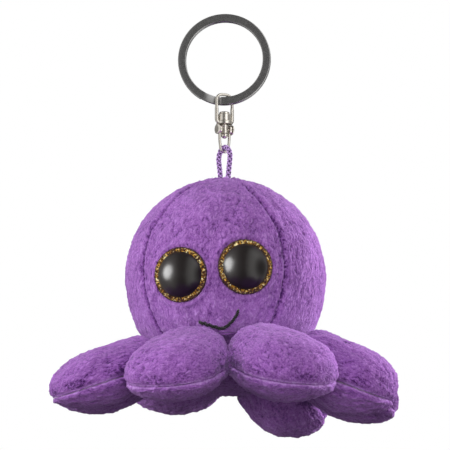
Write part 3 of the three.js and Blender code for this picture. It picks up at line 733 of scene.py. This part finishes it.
# ---- belly --------------------------------------------------------------------------------
def belly():
    outer = [(0.4, -123.0), (6, -122.9), (12, -122.4), (17.2, -120.6), (19.2, -117.5), (19.7, -112),
             (20.6, -108.9), (24.6, -107.7), (25.8, -107.2)]
    inner = [(25.4, -106.75), (19.0, -107.2), (18.4, -112), (18.0, -117.2), (16.4, -119.5),
             (11.6, -121.2), (0.4, -121.7)]
    line = smooth_route([(r, 0, z) for r, z in outer], 0.3 / FINE)
    grid = turned(np.vstack([line[:, [0, 2]], inner]), round(360 * FINE))
    rows = len(line)
    height, shade = plush(grid, 15)
    travel = unit(np.gradient(grid, axis=0))
    ring = unit(np.roll(grid, -1, 1) - np.roll(grid, 1, 1))
    out = unit(np.cross(ring, travel))
    height[rows:] = 0
    made = Sculpt()
    made.tube(grid + out * height[..., None] + np.array([HEAD[0], HEAD[1], 0]), np.ravel(shade))
    return made.build("belly_plush", PLUSH_ARM)


dress(belly(), "toy", "belly_panel")

# ---- eyes ---------------------------------------------------------------------------------
STEM_R = 1.8


def onto_eye(grid, side):
    seat, normal = eye_frame(side)
    turn = np.array(Vector((0, 0, 1)).rotation_difference(Vector(normal)).to_matrix())
    return seat + grid @ turn.T


for side_name in EYES:
    crest = np.linspace(EYE_R - 0.08, PUPIL_R - 0.2, 6)
    profile = [(STEM_R + 0.2, -0.65), (EYE_R - 0.25, -0.65), (EYE_R, -0.45), (EYE_R + 0.03, -0.2),
               *[(r, 0.34 - 0.045 * (r - PUPIL_R - 0.2) ** 2 * 4) for r in crest], (STEM_R + 0.2, 0.35)]
    flange = turned(profile, 190)
    sparkle = dice.normal(0, 0.09, flange.shape[:2])
    sparkle[[0, 1, -1]] = 0
    flange[..., 2] += sparkle
    flange[2:-2, :, :2] *= (1 + 0.006 * dice.normal(0, 1, flange[2:-2].shape[:2]))[..., None]
    iris = Sculpt()
    inward = np.clip((EYE_R - 0.15 - np.array(profile)[:, 0]) / 0.5, 0, 1)
    iris.tube(onto_eye(flange, side_name), np.repeat(inward, 190), closed=True)
    glitter = iris.build(f"eye_{side_name}_glitter", GLITTER, flat=True)
    dress(glitter, "toy", f"eye_{side_name}_iris")

    base, high = 0.55, 4.6
    ball = (PUPIL_R**2 + high**2) / (2 * high)
    cap = [
        (max(ball * math.sin(a), 0.01), base + high - ball * (1 - math.cos(a)))
        for a in np.linspace(math.asin(PUPIL_R / ball), 0, 40)
    ]
    dome = Sculpt()
    edge = [(0.01, -7), (STEM_R - 0.3, -7), (STEM_R, -6.5), (STEM_R, base),
            (PUPIL_R - 0.15, base - 0.08), (PUPIL_R + 0.02, base)]
    dome.tube(onto_eye(turned([*edge, *cap[1:]], 128), side_name))
    pupil = dome.build(f"eye_{side_name}_pupil", EYE_BLACK, sharp=55)
    dress(pupil, "toy", f"eye_{side_name}_dome")
    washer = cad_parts[f"eye_{side_name}_washer"].data.materials
    washer.clear()
    washer.append(WASHER)

# ---- mouth --------------------------------------------------------------------------------
MOUTH = [(-11.7, -18.5), (-8.5, -19.0), (-5.3, -19.5), (-1.4, -20.1), (2.6, -20.5), (5.3, -20.0),
         (7.9, -19.0), (11.0, -17.2), (12.7, -15.4)]


def mouth():
    """One stitch from each point to the next, each a little bowed out between its ends."""
    stitches = Sculpt()
    ends = [head_point(turn, rise, -0.25) for turn, rise in MOUTH]
    for k, (a, b) in enumerate(zip(ends, ends[1:])):
        s = np.linspace(-0.12, 1.12, 34)[:, None]
        out = unit((a + b) / 2 - HEAD)
        line = a + (b - a) * s + out * (0.55 * np.sin(np.pi * s.clip(0, 1)) - 0.5 * (s < 0) - 0.5 * (s > 1))
        first, second = frames_of(line, out)
        for ply in (0, np.pi):
            turn = ply + 2 * np.pi * s * np.linalg.norm(b - a) / 1.5
            strand = line + 0.24 * (first * np.cos(turn) + second * np.sin(turn))
            stitches.tube(wire(strand, 0.3, 9, out), 0.4 + 0.5 * (ply > 0))
    return stitches.build("mouth_stitches", THREAD)


dress(mouth(), "toy", "mouth_stitch")

# ---- arms ---------------------------------------------------------------------------------
ARM_LENGTH = 37.6
ARM_HALF = 15.1
ARM_TOP = 12.6
ARM_UNDER = 9.0
ARM_PITCH = 19.4  # how far every arm slopes down before its own droop
ROOT_R = 22.0
ROOT_Z = -114.0
HINGE_R = 27.0
HINGE_Z = -106.8
# name, turn round from the face, extra droop, then length, width and depth factors, then how
# deep the folds and the side seam are
ARMS = [
    ("front_left", -16, 1.5, 1.0, 1.0, 0.92, 0.12, 0.45),
    ("front_right", 29.5, -0.5, 1.02, 1.04, 1.0, 0.12, 0.45),
    ("right_front", 73.5, 2.8, 0.99, 0.95, 1.04, 0.35, 0.9),
    ("right_rear", 115.8, 2.2, 1.05, 0.95, 0.85, 0.2, 0.5),
    ("rear_right", 156.8, 7, 1.02, 0.86, 1.0, 0.15, 0.6),
    ("rear_left", -154, -10.8, 0.98, 0.92, 0.79, 0.15, 0.6),
    ("left_rear", -106.5, -6, 0.98, 0.95, 0.93, 0.2, 0.8),
    ("left_front", -61, 0.5, 1.03, 0.97, 0.85, 0.3, 0.6),
]


def swell(x, length, n):
    return (1 - np.clip((length - x) / length, 0, 1) ** n) ** (1 / n)


def taper(x, start, n, m):
    return np.maximum(0, 1 - np.clip((x - start) / (ARM_LENGTH - start), 0, 1) ** n) ** (1 / m)


def arm_point(across, along, inset, side):
    """A point of an arm's skin in its own frame: x outwards, the seam in the plane z = 0."""
    share = (1 - np.cos(np.pi * along)) / 2
    x = ARM_LENGTH * share
    if side > 0:
        height = (ARM_TOP - inset) * swell(x, 7, 1.6) * taper(x, 19, 2.5, 2.5)
    else:
        height = (ARM_UNDER - inset) * swell(x, 20, 1.5) * taper(x, 19, 1.9, 1.6)
    half = np.minimum(ARM_HALF, 9.6 + 0.42 * x) * swell(x, 3, 2) * taper(x, 24.5, 2.1, 2.1)
    half = half * (1 - inset / ARM_HALF)
    a = np.pi * across
    full = 2.5 if side > 0 else 1.85
    n = 2 / full
    y = half * np.sign(np.cos(a)) * np.abs(np.cos(a)) ** n
    z = side * (0.1 + height * np.maximum(0, np.sin(a)) ** n)
    return np.stack([inset + (ARM_LENGTH - 2 * inset) * share + 0 * y, y, z], -1)


def place_arm(p, turn, sag, long, wide, deep):
    """An arm's points in the frame, turned by its droop about the hinge at its root."""
    p = about_y(p * np.array([long, wide, deep]), ARM_PITCH)
    p = p + np.array([ROOT_R - HINGE_R, 0, ROOT_Z - HINGE_Z])
    p = about_y(p, sag) + np.array([HINGE_R, 0, HINGE_Z])
    return about_z(p, turn - 90) + np.array([HEAD[0], HEAD[1], 0])


def run(grid, axis):
    """How far each point lies along its row or column from the nearer end."""
    steps = np.linalg.norm(np.diff(grid, axis=axis), axis=-1)
    start = np.zeros_like(np.take(steps, [0], axis=axis))
    along = np.concatenate([start, np.cumsum(steps, axis=axis)], axis=axis)
    return np.minimum(along, np.take(along, [-1], axis=axis) - along)


def arm_panel(number, side, shape, folds, deep_seam):
    step = 6
    along, across = (34, 24) if side > 0 else (26, 20)
    v = np.linspace(0.004, 0.9985, step * round(along * FINE) + 1)[:, None]
    t = np.linspace(0, 1, step * round(across * FINE) + 1)[None, :]
    u = t - 0.4 * np.sin(2 * np.pi * t) / (2 * np.pi)
    own = arm_point(u, v, 0.0, side)
    skin = place_arm(own, *shape)
    middle = place_arm(np.array([ARM_LENGTH / 2, 0.0, 0.0]), *shape)
    out = normals_of(skin, middle)
    seam = np.minimum(run(skin, 1), run(skin, 0) + 0.4)
    flat = own[..., [1, 2, 0]] + 40 * number
    height, shade = plush(flat, 30 + number)
    x, y = own[..., 0], own[..., 1]
    ragged = noise(own / 0.9 + number, 41)
    dark_patches = np.clip(noise(own / 5.0 + number, 44) + 0.35, 0, 1)
    pucker = noise(np.stack([x / 2.4, y / 9.0, 0 * x + number], -1), 42)
    crease = np.abs(noise(np.stack([(x + 0.6 * y) / 17, (y - 0.25 * x) / 3.4, 0 * x + number], -1), 43))
    height += 0.3 * deep_seam * np.exp(-(((seam - 2.0) / 1.0) ** 2))
    height -= deep_seam * (1.0 + 0.5 * ragged) * np.exp(-((seam / 0.7) ** 2))
    height += 0.25 * pucker * np.exp(-seam / 4.0) + folds * (1.6 * np.minimum(crease, 0.5) - 0.4)
    # fibres stand along the seam and catch the light, shown as a painted highlight, and the pile over it is
    # darker in ragged patches
    shade = shade + (0.45 + 0.5 * ragged) * np.exp(-(((seam - 0.35) / 0.35) ** 2))
    # a painted shadow darkens the colour near the root, where neighbouring arms meet
    shade = shade - 0.55 * np.exp(-((run(skin, 1) / 3.2) ** 2)) * np.clip((23 - x) / 6, 0, 1)
    if side > 0:
        shade = shade - dark_patches * (0.35 + 0.6 * ragged).clip(0) * np.exp(-(((seam - 2.2) / 1.5) ** 2))
    panel = Sculpt()
    inner = place_arm(arm_point(u[:, ::step], v[::step], FABRIC, side), *shape)
    panel.shell(skin + out * height[..., None], inner, step, np.clip(shade, 0, 1), flat)
    return panel


for number, (name, *shape, folds, deep_seam) in enumerate(ARMS):
    body = f"arm_{name}"
    top = arm_panel(number, 1, shape, folds, deep_seam).build(f"arm_{name}_upper_plush", PLUSH_ARM)
    dress(top, body, f"arm_{name}_top")
    under = arm_panel(number, -1, shape, folds, deep_seam).build(f"arm_{name}_lower_plush", PLUSH_ARM)
    dress(under, body, f"arm_{name}_under")

    def filling_skin(u, v):
        upper = arm_point(2 * u, v, FABRIC + 1.3, 1)
        lower = arm_point(2 - 2 * u, v, FABRIC + 1.3, -1)
        return place_arm(np.where((u < 0.5)[..., None], upper, lower), *shape)

    inside = pod(filling_skin, 40, 30, 50 + number).build(f"arm_{name}_filling", FILLING)
    dress(inside, body, f"arm_{name}_stuffing")


# ---- studio -------------------------------------------------------------------------------
def softbox(name, place, aim, size, power, glossy=True, only=None):
    """A round-edged area light. With glossy off it has no mirror image, and with only it lights
    nothing but that collection."""
    data = bpy.data.lights.new(name, "AREA")
    data.shape, data.size, data.size_y, data.energy = "ELLIPSE", size[0], size[1], power
    light = bpy.data.objects.new(name, data)
    light.location = place
    light.rotation_euler = (Vector(place) - Vector(aim)).to_track_quat("Z", "Y").to_euler()
    light.visible_glossy = glossy
    light.light_linking.receiver_collection = only
    scene.collection.objects.link(light)


domes = bpy.data.collections.new("domes")
for side_name in EYES:
    domes.objects.link(bpy.data.objects[f"eye_{side_name}_pupil"])

middle = (0.0, 0.0, -0.08)
softbox("left_softbox", (-0.88, -0.08, 0.06), middle, (0.6, 0.55), 8.0, glossy=False)
softbox("eye_glint", (-0.86, -0.3, 0.06), middle, (0.8, 0.8), 22.0, only=domes)
softbox("right_softbox", (0.66, 0.52, 0.12), middle, (0.35, 0.6), 17.5, glossy=False)
softbox("top_softbox", (0.0, -0.3, 0.75), middle, (0.6, 0.6), 3.4, glossy=False)
softbox("front_fill", (0.12, -1.1, -0.18), middle, (0.8, 0.8), 13.3, glossy=False)

# The world is white to the camera and dim as a light. Polished pieces mirror pale walls at the
# sides, with a dark end in front of the face and a dim rear.
world = bpy.data.worlds.new("studio")
world.use_nodes = True
sky = world.node_tree
path = node(sky, "ShaderNodeLightPath")
heading = node(sky, "ShaderNodeSeparateXYZ")
sky.links.new(node(sky, "ShaderNodeTexCoord").outputs["Generated"], heading.inputs["Vector"])
greys = [(0.0, 0.25), (0.1, 1.0), (0.24, 0.6), (0.4, 0.14), (0.6, 0.14), (0.72, 1.2), (0.88, 1.8),
         (0.96, 0.5), (1.0, 0.2)]  # from left to right
wide = node(sky, "ShaderNodeMapRange")
wide.inputs["From Min"].default_value = -1.0
sky.links.new(heading.outputs["X"], wide.inputs["Value"])
walls = ramp(sky, wide.outputs["Result"], [(at, (g, g * 0.985, g * 0.96, 1)) for at, g in greys])
rear = node(sky, "ShaderNodeMapRange")
rear.inputs["From Min"].default_value, rear.inputs["From Max"].default_value = -0.1, 0.5
rear.inputs["To Min"].default_value, rear.inputs["To Max"].default_value = 1.0, 0.3
sky.links.new(heading.outputs["Y"], rear.inputs["Value"])
room = node(sky, "ShaderNodeMix", data_type="RGBA", blend_type="MULTIPLY")
room.inputs["Factor"].default_value = 1.0
sky.links.new(walls, room.inputs[6])
sky.links.new(rear.outputs["Result"], room.inputs[7])
tone = node(sky, "ShaderNodeMix", data_type="RGBA")
tone.inputs[6].default_value = (0.1, 0.1, 0.105, 1)
sky.links.new(path.outputs["Is Glossy Ray"], tone.inputs["Factor"])
sky.links.new(room.outputs[2], tone.inputs[7])
white = node(sky, "ShaderNodeMix", data_type="RGBA")
white.inputs[7].default_value = (1, 1, 1, 1)
sky.links.new(path.outputs["Is Camera Ray"], white.inputs["Factor"])
sky.links.new(tone.outputs[2], white.inputs[6])
sky.links.new(white.outputs[2], sky.nodes["Background"].inputs["Color"])
scene.world = world

# The floor glows a little, so that it stays pale away from the lights, and it lights nothing.
FLOOR_Z = -0.30
FLOOR_HALF = 3.0
corners = [(x * FLOOR_HALF, y * FLOOR_HALF, FLOOR_Z) for x, y in ((-1, -1), (1, -1), (1, 1), (-1, 1))]
floor_mesh = bpy.data.meshes.new("floor")
floor_mesh.from_pydata(corners, [], [(0, 1, 2, 3)])
floor_paint, *_ = new_material(
    "floor", Base_Color=rgb(150, 149, 148), Roughness=0.9,
    Emission_Color=rgb(236, 235, 233), Emission_Strength=0.85,
)
floor_mesh.materials.append(floor_paint)
floor = bpy.data.objects.new("floor", floor_mesh)
scene.collection.objects.link(floor)
floor.visible_glossy = False
floor.visible_diffuse = False

scene.view_settings.view_transform = "Standard"
